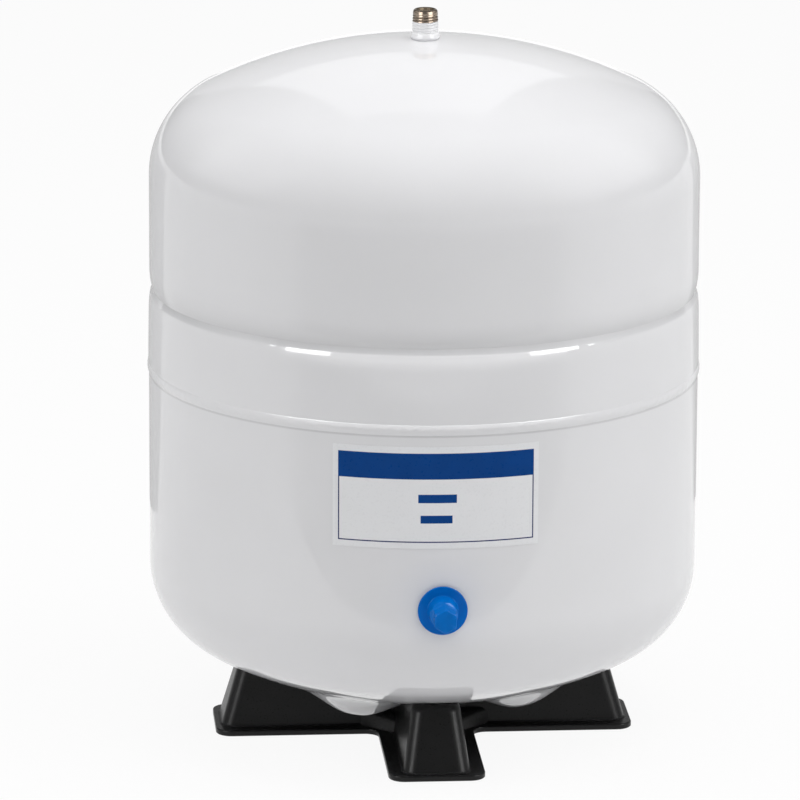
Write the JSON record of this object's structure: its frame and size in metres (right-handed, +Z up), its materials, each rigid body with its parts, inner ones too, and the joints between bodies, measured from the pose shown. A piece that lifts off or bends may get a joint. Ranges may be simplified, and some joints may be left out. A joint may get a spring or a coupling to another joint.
{
  "type": "reverse osmosis storage tank",
  "caption": "Steel diaphragm pressure tank with domed ends, a threaded water port on top, a capped air valve low on its wall, and a moulded cross stand.",
  "frame": {"origin": "on the tank's vertical axis at floor level, at the centre of the stand's foot", "axes": "+Z up along the tank's axis, the air valve points to -Y, +X to the right when it is seen from the valve's side"},
  "size_m": [0.2826, 0.3037, 0.3749],
  "materials": {
    "upper_shell": "gloss white enamel",
    "lower_shell": "gloss white enamel",
    "seam_weld": "gloss white enamel over a slightly lumpy weld bead",
    "clench_ring": "plain rolled steel",
    "liner": "natural polypropylene",
    "diaphragm": "black butyl rubber",
    "port_nipple": "bronze-toned plated metal; lower threads painted white",
    "port_weld": "gloss white enamel over a weld collar",
    "port_o_ring": "black rubber",
    "liner_nut": "natural polypropylene",
    "valve_stem": "plain brass",
    "valve_gasket": "black rubber",
    "valve_washer": "zinc plated",
    "valve_nut": "zinc plated",
    "core_barrel": "plain brass",
    "core_barrel_seal": "red sealing plastic",
    "core_pin": "plain brass",
    "core_seal": "black rubber",
    "core_spring": "stainless wire",
    "valve_cap": "satin blue moulding",
    "cap_seal": "black rubber",
    "label": "silver-white film with a navy frame, a blue header and two small blue blocks",
    "stand": "satin black moulding"
  },
  "bodies": {
    "tank": {"upper_shell": "upper_shell", "lower_shell": "lower_shell", "seam_weld": "seam_weld", "clench_ring": "clench_ring", "liner": "liner", "diaphragm": "diaphragm", "port_nipple": "port_nipple", "port_weld": "port_weld", "port_o_ring": "port_o_ring", "liner_nut": "liner_nut", "valve_stem": "valve_stem", "valve_gasket": "valve_gasket", "valve_washer": "valve_washer", "valve_nut": "valve_nut", "core_barrel": "core_barrel", "core_barrel_seal": "core_barrel_seal", "core_spring": "core_spring", "label": "label", "stand": "stand"},
    "cap_slider": {"cap_seal": "cap_seal"},
    "cap": {"valve_cap": "valve_cap"},
    "valve_core": {"core_pin": "core_pin", "core_seal": "core_seal"}
  },
  "joints": [
    {"name": "cap_travel", "type": "slide", "parent": "tank", "child": "cap_slider", "axis": [0, -1, 0], "range_m": [0, 0.0048]},
    {"name": "cap_turn", "type": "hinge", "parent": "cap_slider", "child": "cap", "pos_m": [-0.0011, -0.1404, 0.09946], "axis": [0, -1, 0], "range_deg": [0, 2160]},
    {"name": "core_press", "type": "slide", "parent": "tank", "child": "valve_core", "axis": [0, 1, 0], "range_m": [0, 0.0012], "stiffness_N_per_m": 2000, "springref_m": -0.0005, "deforming": ["core_spring"]}
  ],
  "couplings": [
    {"joint": "cap_travel", "follows": "cap_turn", "m_per_rad": 0.00012637}
  ]
}
